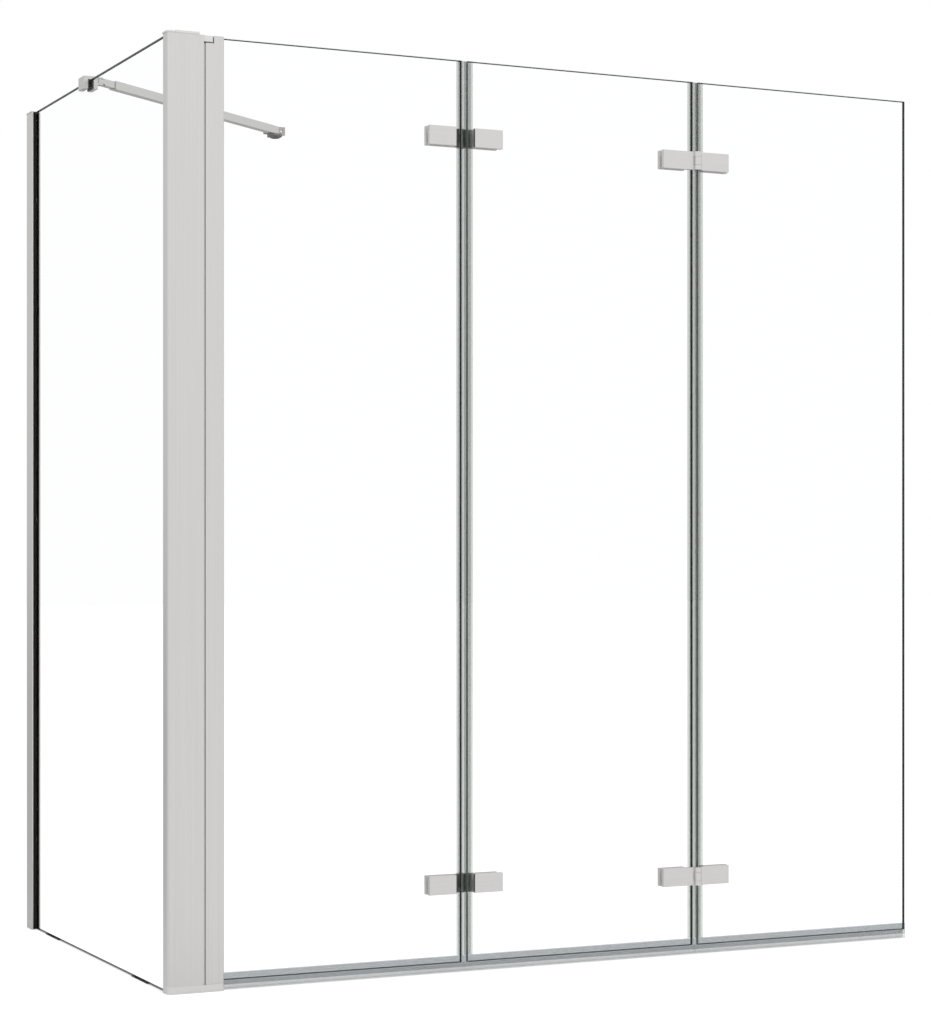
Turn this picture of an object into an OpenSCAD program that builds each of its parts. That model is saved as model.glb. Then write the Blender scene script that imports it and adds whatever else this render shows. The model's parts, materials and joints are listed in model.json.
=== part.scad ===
// Folding bath screen: a corner post on the bath rim, a fixed side pane that runs back to the
// wall, three hinged leaves of clear glass, and a telescopic brace bar from side pane to wall.
// Units are millimetres. Z is up from the bath rim, X runs along the leaves away from the
// post, Y runs from the leaves towards the wall. The origin is the foot of the pivot axis.

/* [Overall] */
// Height of the post's end cap above the bath rim
overall_h = 1400; // [1100:5:1700]
// Distance from the leaves' glass to the wall
return_d = 734; // [560:1:950]
// Width of the glass of one folding leaf
leaf_w = 399; // [320:1:480]
// Gap between the glass edges of two leaves
leaf_gap = 9; // [8:0.5:12]
// Thickness of every pane
glass_t = 6; // [5:0.5:8]
// Height of the leaves' bottom edge above the rim
leaf_lift = 13.4; // [12:0.2:24]
// How far the leaves' top edge lies below the top of the post profiles
leaf_drop = 0; // [0:0.1:6]

/* [Corner post] */
// Distance from the pivot axis to the middle of the side pane
pivot_to_side = 57; // [50:0.5:80]
// Depth of the post, front face to back face
post_d = 28; // [26:0.5:34]
// Wall of the aluminium profiles
wall = 2; // [1.6:0.1:2.4]
// Radius of the post's outer corner
corner_r = 8; // [4:0.5:11]
// Depth of the outer lip that covers the side pane, from the leaves' mid-plane
outer_lip_y = 8; // [6:0.5:16]
// Depth of the inner lip behind the side pane, from the leaves' mid-plane
inner_lip_y = 24; // [16:0.5:34]
// Depth of the glass pocket, from the leaves' mid-plane towards the front
pocket_y = 7; // [4:0.5:8]
// Thickness of the rubber in the post's pocket
side_rubber_t = 1; // [0.8:0.1:2]
// Height of the foot block
foot_h = 11; // [8:0.5:20]
// Thickness of the front profile's end cap
cap_t = 4; // [3:0.5:8]
// Thickness of the corner profile's end cap
corner_cap_t = 3; // [2:0.5:6]
// How far the end caps stand out past the profiles
cap_overhang = 1; // [0.5:0.1:2]
// Distance from the front profile's end cap to the end of that profile
cap_inset = 6.6; // [5:0.2:9]

/* [Leaf pivot] */
// Distance from the pivot axis to the end of the front profile
post_end = 7.6; // [7:0.1:9]
// Distance from the pivot axis to the left edge of the pivot profile's flat face
nose_in = 4.9; // [4:0.1:6]
// Distance from the pivot axis to the outer edge of the pivot profile
pivot_out = 24; // [20:0.1:27]
// Depth of glass held in the pivot profile
glass_grip = 10.5; // [5:0.1:11]
// Thickness of the rubber in the pivot profile
leaf_rubber_t = 1.2; // [0.8:0.1:1.6]
// Height of the tab on the top pivot block
tab_h = 9.5; // [7:0.5:16]
// Reach of the tab past the pivot axis
tab_reach = 6.2; // [5:0.1:7]
// Groove round the tab
tab_groove = 1.7; // [1:0.1:2.5]
// Radius of the pivot pins
pivot_pin_r = 3; // [2:0.25:3.5]
// Length of a pivot bush
bush_l = 14; // [8:1:30]
// Thickness of the thrust washer under the pivot profile
washer_t = 0.6; // [0.5:0.1:2]

/* [Hinges] */
// Width of a hinge over both plates
hinge_w = 124; // [110:1:150]
// Height of a hinge
hinge_h = 29; // [26:1:40]
// Space between the two plates of a hinge
hinge_mid = 29; // [28:0.5:34]
// Thickness of a hinge plate
plate_t = 6.2; // [5.5:0.1:8]
// Thickness of the rubber between a plate and the glass
plate_rubber_t = 0.8; // [0.5:0.1:1.5]
// Radius of the hinge knuckles
knuckle_r = 6.5; // [5:0.1:6.8]
// Height of the tongue between the two ears
tongue_h = 13; // [10:0.5:16]
// Radius of the hinge pins
hinge_pin_r = 2.5; // [2:0.1:3]
// Height of the lower hinges of joint A above the leaves' bottom edge
hinge_low = 121; // [60:1:200]
// Distance of the upper hinges of joint A below the leaves' top edge
hinge_high = 118; // [60:1:200]
// How much lower the hinges of joint B sit
hinge_stagger = 9.5; // [0:0.5:30]
// Radius of the clamping screws
screw_r = 2.5; // [2:0.1:3]
// Distance of the outer screw from the plate's outer end
screw_inset = 12; // [9:0.5:14]
// How much shorter the knuckle plate of the leaf after a joint is, at its far end
tongue_less = 4; // [0:0.5:5]
// How much shorter the cover of the leaf before a joint is, at the joint
cover_less = 2.5; // [0:0.5:4]

/* [Seals] */
// Length of glass covered by a vertical seal
edge_cover = 9; // [6:0.25:9.5]
// How much less glass the seal with the fin covers
fin_less = 2.5; // [0:0.25:3]
// Wall of the vertical seals
edge_wall = 1; // [0.8:0.1:1.1]
// Height of glass covered by a bottom seal
bottom_cover = 11; // [5:0.5:14]
// Wall of the bottom seals
bottom_wall = 1.2; // [0.8:0.1:1.6]
// Height of the wiping lip under a bottom seal
lip_h = 5.5; // [3:0.5:8]

/* [Wall channel] */
// Depth of the wall channel
channel_d = 34; // [26:1:50]
// Thickness of the channel's back web
web_t = 2.5; // [2:0.1:4]
// Gap between the outer flange and the glass, filled by the black rubber
outer_gap = 5.8; // [3:0.1:10]
// Gap between the inner flange and the glass
inner_gap = 1; // [0.8:0.1:3]
// How much shorter the inner flange is than the outer one
inner_less = 8; // [0:0.5:9]
// Free space between the glass edge and the web, for screw heads
head_room = 9.5; // [6:0.5:12]
// Radius of the wall screw holes
wall_hole_r = 2.5; // [2:0.25:4]
// Distance between two wall screw holes
wall_hole_pitch = 550; // [300:10:560]
// Height of the middle wall screw hole
wall_hole_mid = 700; // [620:10:780]

/* [Brace] */
// Distance from the leaves' glass to the middle of the brace clamp
clamp_y = 405.5; // [300:0.5:500]
// Distance from the side pane to the bar's wall swivel
bracket_x = 437; // [300:1:600]
// Height of the bar's axis above the top of the post profiles
brace_rise = 1.2; // [-3:0.1:3]
// Width of the outer square tube
tube_w = 13.5; // [12:0.25:18]
// Wall of the outer tube
tube_wall = 1.05; // [0.8:0.05:1.6]
// Length of the clamp along the glass
clamp_l = 31; // [26:1:40]
// Thickness of a clamp jaw
jaw_t = 6.85; // [6:0.05:9]
// Thickness of the rubber in the clamp
clamp_rubber_t = 1.65; // [1:0.05:2.5]
// Height of glass held in the clamp
clamp_grip = 13.5; // [12:0.5:30]
// Thickness of the clamp over the glass
clamp_bridge = 5; // [4:0.25:6]
// Radius of the bar's eye in the clamp
eye_r = 6; // [5:0.25:6]
// Visible length of the inner rod
rod_show = 27; // [24:1:60]
// Length of rod inside the tube
rod_overlap = 260; // [140:5:400]
// Distance from the bar's wall swivel to the wall
bracket_reach = 17.3; // [16:0.1:30]
// Width of the bracket's plate on the wall
bracket_w = 40; // [38:1:60]
// How far the plate's middle lies beyond the bolt
bracket_shift = 4; // [0:0.5:5]
// Height of the bracket's plate
bracket_h = 14.4; // [12:0.2:20]
// Radius of the bracket's round boss
boss_r = 13; // [10:0.5:15]
// Height of the bracket's round boss
boss_h = 7; // [6.5:0.5:16]
// Distance between the bracket's two screw holes
bracket_hole_pitch = 27; // [24:1:44]
// Radius of the bracket's screw holes
bracket_hole_r = 2.25; // [1.5:0.25:2.5]

/* [Hidden] */
$fn = 48;

// Clearances
snug = 0.02;      // a pin or screw in the hole that holds it
running = 0.06;   // a pin in the hole that turns on it
slack = 0.2;      // one flat face beside another that moves
free = 0.3;       // a round face beside another
cut = 1;          // how far a cutting tool runs past the face that it cuts

// Colours
satin = [0.82, 0.82, 0.81];
steel = [0.70, 0.70, 0.70];
clear = [0.80, 0.90, 0.88, 0.35];
seal_grey = [0.66, 0.68, 0.69, 0.8];
black = [0.10, 0.10, 0.10];
nylon = [0.90, 0.90, 0.88];

// Panes
half_glass = glass_t / 2;
profile_top = overall_h - cap_t;
leaf_bottom = leaf_lift;
leaf_top = profile_top - leaf_drop;
leaf_pitch = leaf_w + leaf_gap;
leaf_start = pivot_out - glass_grip;
joint_a_x = leaf_start + leaf_w + leaf_gap / 2;
joint_b_x = joint_a_x + leaf_pitch;

// Corner post
side_x = -pivot_to_side;
half_post = post_d / 2;
side_slot = half_glass + side_rubber_t;
post_left = side_x - side_slot - wall;
joint_x = side_x + side_slot + wall;
socket_r = norm([nose_in, half_post]) + free;
pocket_floor = pocket_y + wall;
side_drop = 0.5;
side_top = profile_top - side_drop;
cap_end = -post_end - cap_inset;
join_screw_r = 1.6;
join_head_r = 3;
join_head_t = 1.8;
join_inset = 150;
join_heights = [join_inset, profile_top / 2, profile_top - join_inset];

// Leaf pivot
nose_r = norm([nose_in, half_post]);
tab_z = profile_top - tab_h;
notch_z = tab_z - tab_groove;
notch_x = tab_reach + tab_groove;
pivot_top = profile_top;
pivot_bottom = foot_h + washer_t;
pivot_edge_r = 3;
leaf_slot = half_glass + leaf_rubber_t;
slot_floor = leaf_start - leaf_rubber_t;
bush_wall = 2;
bush_r = pivot_pin_r + bush_wall;
port_r = bush_r + wall;
port_web = 3;
plug_l = 16;
root_floor = 3;
pin_root = foot_h - root_floor;

// Hinges
plate_in = half_glass + plate_rubber_t;
plate_out = plate_in + plate_t;
pin_rise = 0.5;
pin_y = plate_out + pin_rise;
pin_proud = 0.3;
knuckle_web = 4.5;
hinge_a_heights = [leaf_bottom + hinge_low, leaf_top - hinge_high];
hinge_b_heights = [for (z = hinge_a_heights) z - hinge_stagger];
plate_l = (hinge_w - hinge_mid) / 2;
screw_xs = [hinge_w / 2 - screw_inset, hinge_mid / 2 + screw_inset];
screw_head_rim = 1.9;
screw_head_r = screw_r + screw_head_rim;
screw_head_t = 2.4;
blind_floor = 1.6;
screw_bite = plate_t - blind_floor;
sleeve_wall = 5;
sleeve_r = screw_r + sleeve_wall;
key_r = 1.5;
key_depth = 1.4;

// Seals
edge_end = leaf_gap / 2 - edge_wall;
edge_drop = 0.5;
edge_base_z = leaf_bottom + bottom_cover + free;
edge_top_z = leaf_top - edge_drop;
fin_t = 1.6;
bulb_r = 2;
seal_floor = leaf_bottom - bottom_wall;
seal_out = half_glass + bottom_wall;
seal_top = leaf_bottom + bottom_cover;
lip_t = 1.6;
lip_out = seal_out + 1;

// Side pane and wall channel
block_t = 1;
block_l = 80;
block_inset = 90;
side_front = -pocket_y + side_rubber_t;
side_back = return_d - web_t - head_room;
channel_mouth = return_d - channel_d;
inner_mouth = channel_mouth + inner_less;
channel_left = side_x - half_glass - outer_gap - wall;
channel_right = side_x + half_glass + inner_gap + wall;
channel_cap_t = 2;
channel_top = profile_top - channel_cap_t;
wall_rubber_d = 12;

// Brace
axis_z = profile_top + brace_rise;
clamp_half = half_glass + clamp_rubber_t + jaw_t;
clamp_top = side_top + clamp_rubber_t + clamp_bridge;
clamp_bottom = side_top - clamp_grip;
clamp_slot = half_glass + clamp_rubber_t;
eye_gap = 1;
swivel_x = side_x + clamp_half + eye_r + eye_gap;
bolt_x = side_x + bracket_x;
bolt_y = return_d - bracket_reach;
brace_az = atan2(bolt_y - clamp_y, bolt_x - swivel_x);
brace_l = norm([bolt_x - swivel_x, bolt_y - clamp_y]);
rod_w = tube_w - 2 * tube_wall - 2 * slack;
eye_neck = 2.5;
rod_start = eye_r + eye_neck;
tube_start = rod_start + rod_show;
end_l = 16;
end_plug = 30;
eye_h = 7;
ear_t = 2.5;
ear_gap = eye_h / 2 + slack;
ear_rim = 0.5;
ear_r = eye_r + ear_rim;
swivel_pin_r = 2.5;
bolt_r = 3;
bolt_head_r = 5;
bolt_head_t = 3;
bracket_plate_t = 5;
boss_top = axis_z - tube_w / 2 - slack;
grub_r = 2;
grub_sink = 0.4;
grub_key_r = 1.1;
lock_inset = 10;
pad_inset = 0.4;
end_floor = 1.5;
boss_low = boss_top - boss_h;
boss_waist = boss_top - 0.5 * boss_h;
boss_foot_r = 0.6 * boss_r;
neck_half = 0.66 * boss_r;
plate_low = axis_z - 5.2;
plate_mid = plate_low + bracket_h / 2;
bolt_sink = 1;
bolt_key_r = 2;
bolt_key_d = 1.6;

// ---------- helpers ----------

module rect(x, y)
    translate([x[0], y[0]])
        square([x[1] - x[0], y[1] - y[0]]);

module block(x, y, z)
    translate([x[0], y[0], z[0]])
        cube([x[1] - x[0], y[1] - y[0], z[1] - z[0]]);

module rise(z)
    translate([0, 0, z[0]])
        linear_extrude(z[1] - z[0])
            children();

module along_x(x)
    translate([x[0], 0, 0])
        rotate([90, 0, 90])
            linear_extrude(x[1] - x[0])
                children();

// The sliver between a sharp corner at (x, y) and an arc of radius r inside it
module corner_sliver(x, y, r, into_x, into_y)
    difference() {
        rect([min(x, x + into_x * r), max(x, x + into_x * r)],
             [min(y, y + into_y * r), max(y, y + into_y * r)]);
        translate([x + into_x * r, y + into_y * r])
            circle(r);
    }

// A cylinder along Y from y[0] to y[1]
module rod_y(r, y)
    translate([0, y[0], 0])
        rotate([-90, 0, 0])
            cylinder(r = r, h = y[1] - y[0]);

// A cylinder along X from x[0] to x[1]
module rod_x(r, x)
    translate([x[0], 0, 0])
        rotate([0, 90, 0])
            cylinder(r = r, h = x[1] - x[0]);

// ---------- corner post ----------

module corner_outline()
    difference() {
        union() {
            rect([post_left, joint_x], [-half_post, outer_lip_y]);
            rect([side_x, joint_x], [-half_post, inner_lip_y]);
        }
        corner_sliver(post_left, -half_post, corner_r, 1, 1);
        rect([side_x - side_slot, side_x + side_slot], [-pocket_y, inner_lip_y + cut]);
    }

module corner_chamber()
    rect([post_left + corner_r / 2, joint_x - wall], [-half_post + wall, -pocket_floor]);

module join_holes()
    for (z = join_heights)
        translate([0, 0, z])
            rod_x(join_screw_r + snug, [joint_x - wall - cut, joint_x + wall + cut]);

module corner_profile()
    color(satin)
        difference() {
            rise([foot_h, profile_top])
                difference() {
                    corner_outline();
                    corner_chamber();
                }
            join_holes();
        }

module front_outline()
    difference() {
        rect([joint_x, -post_end], [-half_post, half_post]);
        circle(socket_r);
    }

module front_chamber()
    difference() {
        rect([joint_x + wall, -post_end], [-half_post + wall, half_post - wall]);
        circle(socket_r + wall);
    }

module front_profile()
    color(satin)
        difference() {
            rise([foot_h, profile_top])
                difference() {
                    front_outline();
                    front_chamber();
                }
            join_holes();
            block([-socket_r - plug_l, -post_end + cut],
                  [-half_post + wall, half_post - wall],
                  [tab_z, profile_top + cut]);
        }

module joining_screws()
    color(steel)
        for (z = join_heights)
            translate([0, 0, z]) {
                rod_x(join_screw_r, [joint_x - wall + slack, joint_x + wall + join_head_t]);
                rod_x(join_head_r, [joint_x + wall, joint_x + wall + join_head_t]);
            }

module corner_cap()
    color(satin)
        rise([profile_top, profile_top + corner_cap_t])
            difference() {
                rect([post_left - cap_overhang, joint_x],
                     [-half_post - cap_overhang, outer_lip_y + cap_overhang]);
                corner_sliver(post_left - cap_overhang, -half_post - cap_overhang,
                              corner_r + cap_overhang, 1, 1);
            }

module post_cap()
    color(satin) {
        block([joint_x, cap_end],
              [-half_post - cap_overhang, half_post + cap_overhang],
              [profile_top, profile_top + cap_t]);
        block([joint_x + wall + slack, -socket_r - plug_l - slack],
              [-half_post + wall + slack, half_post - wall - slack],
              [tab_z, profile_top]);
    }

module top_pivot_block()
    color(satin)
        difference() {
            union() {
                block([-socket_r - plug_l, -post_end],
                      [-half_post + wall + slack, half_post - wall - slack],
                      [tab_z, profile_top]);
                rise([tab_z, profile_top]) {
                    rect([-post_end, tab_reach], [-half_post, 0]);
                    rect([-post_end, 0], [0, tab_reach]);
                    circle(tab_reach);
                }
            }
            translate([0, 0, tab_z - cut])
                cylinder(r = pivot_pin_r + snug, h = tab_h + cut - wall);
        }

module top_pivot_pin()
    color(steel)
        translate([0, 0, notch_z - bush_l])
            cylinder(r = pivot_pin_r, h = profile_top - wall - slack - notch_z + bush_l);

// Square towards the room, round towards the bath, where the bottom seal swings past it
module foot_nose()
    intersection() {
        difference() {
            rect([0, pivot_out], [-half_post, half_post]);
            corner_sliver(pivot_out, -half_post, pivot_edge_r, -1, 1);
        }
        union() {
            circle(pivot_out + slack - free);
            rect([0, pivot_out], [-half_post, -lip_out - slack]);
        }
    }

module post_foot()
    color(satin)
        difference() {
            rise([0, foot_h])
                union() {
                    corner_outline();
                    rect([joint_x, 0], [-half_post, half_post]);
                    foot_nose();
                }
            translate([0, 0, foot_h - pin_root])
                cylinder(r = pivot_pin_r + snug, h = pin_root + cut);
        }

module bottom_pivot_pin()
    color(steel)
        translate([0, 0, foot_h - pin_root + slack])
            cylinder(r = pivot_pin_r, h = pin_root - slack + washer_t + bush_l);

module pivot_washer()
    color(nylon)
        rise([foot_h, pivot_bottom])
            difference() {
                circle(port_r + 1);
                circle(pivot_pin_r + running);
            }

// ---------- side pane and wall channel ----------

module side_glass()
    color(clear)
        block([side_x - half_glass, side_x + half_glass],
              [side_front, side_back],
              [block_t, side_top]);

module side_gasket()
    color(black)
        rise([block_t, side_top])
            difference() {
                union() {
                    rect([side_x - side_slot, side_x], [-pocket_y, outer_lip_y]);
                    rect([side_x, side_x + side_slot], [-pocket_y, inner_lip_y]);
                }
                rect([side_x - half_glass, side_x + half_glass],
                     [side_front, inner_lip_y + cut]);
            }

module setting_blocks()
    color(black)
        for (y = [block_inset, return_d - block_inset - block_l])
            block([side_x - half_glass, side_x + half_glass], [y, y + block_l], [0, block_t]);

// What the inner flange lacks
module inner_step(z)
    block([side_x + half_glass + slack, channel_right + cut],
          [channel_mouth - cut, inner_mouth], z);

module wall_channel()
    color(satin)
        difference() {
            block([channel_left, channel_right], [channel_mouth, return_d], [0, channel_top]);
            block([channel_left + wall, channel_right - wall],
                  [channel_mouth - cut, return_d - web_t],
                  [-cut, channel_top + cut]);
            inner_step([-cut, channel_top + cut]);
            for (i = [-1:1])
                translate([side_x, 0, wall_hole_mid + i * wall_hole_pitch])
                    rod_y(wall_hole_r, [return_d - web_t - cut, return_d + cut]);
        }

module channel_cap()
    color(satin)
        difference() {
            block([channel_left - cap_overhang, channel_right],
                  [channel_mouth, return_d],
                  [channel_top, profile_top]);
            block([side_x - half_glass - slack, side_x + half_glass + slack],
                  [channel_mouth - cut, side_back + slack],
                  [channel_top - cut, profile_top + cut]);
            inner_step([channel_top - cut, profile_top + cut]);
        }

module wall_gasket_outer()
    color(black)
        block([channel_left + wall, side_x - half_glass],
              [channel_mouth, channel_mouth + wall_rubber_d],
              [block_t, channel_top]);

module wall_gasket_inner()
    color(black)
        block([side_x + half_glass, channel_right - wall],
              [inner_mouth, inner_mouth + wall_rubber_d],
              [block_t, channel_top]);

// ---------- brace ----------

// Puts its children with X along the bar, from the swivel in the clamp
module on_bar()
    translate([swivel_x, clamp_y, axis_z])
        rotate([0, 0, brace_az])
            children();

module clamp_ears()
    for (z = [-ear_gap - ear_t, ear_gap])
        translate([swivel_x, clamp_y, axis_z])
            rise([z, z + ear_t]) {
                circle(ear_r);
                rect([-ear_r - clamp_half / 2, 0], [-ear_r, ear_r]);
            }

module brace_clamp()
    color(satin)
        difference() {
            union() {
                block([side_x - clamp_half, side_x + clamp_half],
                      [clamp_y - clamp_l / 2, clamp_y + clamp_l / 2],
                      [clamp_bottom, clamp_top]);
                block([side_x + clamp_half / 2, side_x + clamp_half + eye_gap / 2],
                      [clamp_y - ear_r, clamp_y + ear_r],
                      [axis_z - ear_gap - ear_t, axis_z + ear_gap + ear_t]);
                clamp_ears();
            }
            block([side_x - clamp_slot, side_x + clamp_slot],
                  [clamp_y - clamp_l / 2 - cut, clamp_y + clamp_l / 2 + cut],
                  [clamp_bottom - cut, side_top + clamp_rubber_t]);
            translate([swivel_x, clamp_y, axis_z])
                cylinder(r = swivel_pin_r + snug, h = 2 * (ear_gap + ear_t) + cut, center = true);
            clamp_screw_sites()
                rod_x(grub_r + snug, [clamp_slot - cut, clamp_half + cut]);
        }

module clamp_screw_sites()
    for (side = [-1, 1])
        translate([side_x, clamp_y + side * clamp_l / 4, side_top - clamp_grip / 2])
            children();

module clamp_screws()
    color(steel)
        clamp_screw_sites()
            difference() {
                rod_x(grub_r, [clamp_slot, clamp_half - grub_sink]);
                translate([clamp_half - grub_sink - key_depth, 0, 0])
                    rotate([0, 90, 0])
                        cylinder(r = grub_key_r, h = key_depth + cut, $fn = 6);
            }

module clamp_pad()
    color(black)
        difference() {
            block([side_x - clamp_slot, side_x + clamp_slot],
                  [clamp_y - clamp_l / 2 + pad_inset, clamp_y + clamp_l / 2 - pad_inset],
                  [clamp_bottom + pad_inset, side_top + clamp_rubber_t]);
            block([side_x - half_glass, side_x + half_glass],
                  [clamp_y - clamp_l, clamp_y + clamp_l],
                  [clamp_bottom - cut, side_top]);
        }

module swivel_pin()
    color(steel)
        translate([swivel_x, clamp_y, axis_z])
            cylinder(r = swivel_pin_r, h = 2 * (ear_gap + ear_t + pin_proud), center = true);

module brace_rod()
    color(satin)
        on_bar()
            difference() {
                union() {
                    cylinder(r = eye_r, h = eye_h, center = true);
                    block([0, rod_start], [-rod_w / 2, rod_w / 2], [-eye_h / 2, eye_h / 2]);
                    block([rod_start, tube_start + rod_overlap],
                          [-rod_w / 2, rod_w / 2], [-rod_w / 2, rod_w / 2]);
                }
                cylinder(r = swivel_pin_r + running, h = eye_h + cut, center = true);
            }

module brace_tube()
    color(satin)
        on_bar()
            difference() {
                block([tube_start, brace_l - end_l],
                      [-tube_w / 2, tube_w / 2], [-tube_w / 2, tube_w / 2]);
                block([tube_start - cut, brace_l - end_l + cut],
                      [-tube_w / 2 + tube_wall, tube_w / 2 - tube_wall],
                      [-tube_w / 2 + tube_wall, tube_w / 2 - tube_wall]);
                translate([tube_start + lock_inset, 0, -tube_w / 2 - cut])
                    cylinder(r = grub_r + snug, h = tube_wall + 2 * cut);
            }

module slide_screw()
    color(steel)
        on_bar()
            translate([tube_start + lock_inset, 0, -tube_w / 2 - grub_sink])
                cylinder(r = grub_r, h = tube_w / 2 - rod_w / 2 + grub_sink);

module brace_end()
    color(satin)
        on_bar()
            difference() {
                union() {
                    block([brace_l - end_l, brace_l],
                          [-tube_w / 2, tube_w / 2], [-tube_w / 2, tube_w / 2]);
                    translate([brace_l, 0, 0])
                        cylinder(r = tube_w / 2, h = tube_w, center = true);
                    block([brace_l - end_l - end_plug, brace_l - end_l],
                          [-rod_w / 2, rod_w / 2], [-rod_w / 2, rod_w / 2]);
                }
                translate([brace_l, 0, -tube_w / 2 - cut])
                    cylinder(r = bolt_r + running, h = tube_w + cut - end_floor);
            }

module wall_bracket()
    color(satin)
        translate([bolt_x, bolt_y, 0])
            difference() {
                union() {
                    translate([0, 0, boss_low])
                        cylinder(r1 = boss_foot_r, r2 = boss_r, h = boss_waist - boss_low);
                    translate([0, 0, boss_waist])
                        cylinder(r = boss_r, h = boss_top - boss_waist);
                    block([-neck_half, neck_half], [boss_r / 2, bracket_reach],
                          [boss_waist, boss_top]);
                    block([-neck_half, neck_half],
                          [bracket_reach - bracket_plate_t, bracket_reach],
                          [boss_waist, plate_mid]);
                    block([bracket_shift - bracket_w / 2, bracket_shift + bracket_w / 2],
                          [bracket_reach - bracket_plate_t, bracket_reach],
                          [plate_low, plate_low + bracket_h]);
                }
                translate([0, 0, boss_low - cut]) {
                    cylinder(r = bolt_r + snug, h = boss_h + 2 * cut);
                    cylinder(r = bolt_head_r + free, h = cut + bolt_sink + bolt_head_t);
                }
                for (side = [-1, 1])
                    translate([bracket_shift + side * bracket_hole_pitch / 2, 0, plate_mid])
                        rod_y(bracket_hole_r, [bracket_reach - bracket_plate_t - cut,
                                               bracket_reach + cut]);
            }

module bracket_bolt()
    color(steel)
        translate([bolt_x, bolt_y, boss_low + bolt_sink])
            difference() {
                union() {
                    cylinder(r = bolt_head_r, h = bolt_head_t);
                    cylinder(r = bolt_r, h = boss_h + tube_w - bolt_sink - end_floor);
                }
                translate([0, 0, -cut])
                    cylinder(r = bolt_key_r, h = cut + bolt_key_d, $fn = 6);
            }

// ---------- leaves ----------

module pivot_outline()
    difference() {
        intersection() {
            union() {
                circle(nose_r);
                rect([0, pivot_out], [-half_post, half_post]);
            }
            rect([-nose_r, pivot_out], [-half_post, half_post]);
        }
        corner_sliver(pivot_out, -half_post, pivot_edge_r, -1, 1);
        corner_sliver(pivot_out, half_post, pivot_edge_r, -1, -1);
    }

module pivot_chamber()
    difference() {
        intersection() {
            union() {
                circle(nose_r - wall);
                rect([0, pivot_out - wall], [-half_post, half_post]);
            }
            rect([-nose_r, pivot_out], [-half_post + wall, half_post - wall]);
        }
        circle(port_r);
        rect([slot_floor - wall, pivot_out], [-leaf_slot - wall, leaf_slot + wall]);
        rect([0, slot_floor], [-port_web / 2, port_web / 2]);
    }

module pivot_profile()
    color(satin)
        difference() {
            rise([pivot_bottom, pivot_top])
                difference() {
                    pivot_outline();
                    pivot_chamber();
                    circle(bush_r + snug);
                    rect([slot_floor, pivot_out + cut], [-leaf_slot, leaf_slot]);
                }
            block([-nose_r - cut, notch_x], [-post_d, post_d], [notch_z, pivot_top + cut]);
        }

module pivot_bushes()
    color(nylon)
        for (z = [pivot_bottom, notch_z - bush_l])
            rise([z, z + bush_l])
                difference() {
                    circle(bush_r);
                    circle(pivot_pin_r + running);
                }

module leaf_gasket()
    color(seal_grey)
        rise([leaf_bottom, leaf_top])
            difference() {
                rect([slot_floor, pivot_out], [-leaf_slot, leaf_slot]);
                rect([leaf_start, pivot_out + cut], [-half_glass, half_glass]);
            }

function leaf_left(n) = leaf_start + (n - 1) * leaf_pitch;

// Puts its children at the two hinges of joint A or B, with X = 0 midway between the leaves
// and the knuckles on the +Y side
module at_hinges(joint, which = [0, 1])
    for (i = which)
        if (joint == "a")
            translate([joint_a_x, 0, hinge_a_heights[i]])
                children();
        else
            translate([joint_b_x, 0, hinge_b_heights[i]])
                mirror([0, 1, 0])
                    children();

// side is -1 for the leaf before the joint and 1 for the leaf after it
module screw_sites(side)
    for (x = screw_xs)
        translate([side * x, 0, 0])
            children();

module pane(n, joints)
    color(clear)
        difference() {
            block([leaf_left(n), leaf_left(n) + leaf_w],
                  [-half_glass, half_glass],
                  [leaf_bottom, leaf_top]);
            for (j = joints)
                at_hinges(j[0])
                    screw_sites(j[1])
                        rod_y(sleeve_r + free, [-glass_t, glass_t]);
        }

// Near and far end of the knuckle plates and of the covers, from the middle of the joint
function knuckle_x(side) = [hinge_mid / 2, hinge_w / 2 - (side > 0 ? tongue_less : 0)];
function cover_x(side) = [hinge_mid / 2 + (side < 0 ? cover_less : 0), hinge_w / 2];

module plate_body(side, x, y)
    block(side < 0 ? [-x[1], -x[0]] : x, y, [-hinge_h / 2, hinge_h / 2]);

// Screw holes through the plate that carries the screw heads; face is its outer side
module head_holes(side, face)
    screw_sites(side)
        if (face > 0) {
            rod_y(screw_r + slack, [plate_in - cut, plate_out + cut]);
            rod_y(screw_head_r + slack, [plate_out - screw_head_t, plate_out + cut]);
        } else {
            rod_y(screw_r + slack, [-plate_out - cut, -plate_in + cut]);
            rod_y(screw_head_r + slack, [-plate_out - cut, -plate_out + screw_head_t]);
        }

// Blind threaded holes in the plate that the screws pull on
module thread_holes(side, face)
    screw_sites(side)
        rod_y(screw_r + snug, face > 0 ? [plate_in - cut, plate_in + screw_bite]
                                       : [-plate_in - screw_bite, -plate_in + cut]);

// The screw heads are on the bath side: on the knuckle plates of joint A and on the covers
// of joint B
module knuckle_holes(joint, side)
    if (joint == "a")
        head_holes(side, 1);
    else
        thread_holes(side, 1);

module cover_holes(joint, side)
    if (joint == "a")
        thread_holes(side, -1);
    else
        head_holes(side, -1);

module knuckle(side, z)
    rise(z) {
        translate([0, pin_y])
            circle(knuckle_r);
        rect([min(0, side * hinge_mid / 2), max(0, side * hinge_mid / 2)],
             [plate_out - knuckle_web, plate_out]);
    }

// Strip that carries the plate on to the knuckles, over the full height of the hinge
module hinge_web(side)
    rise([-hinge_h / 2, hinge_h / 2])
        rect(side < 0 ? [-hinge_mid / 2, -knuckle_r - free] : [knuckle_r + free, hinge_mid / 2],
             [plate_out - knuckle_web, plate_out]);

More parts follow.
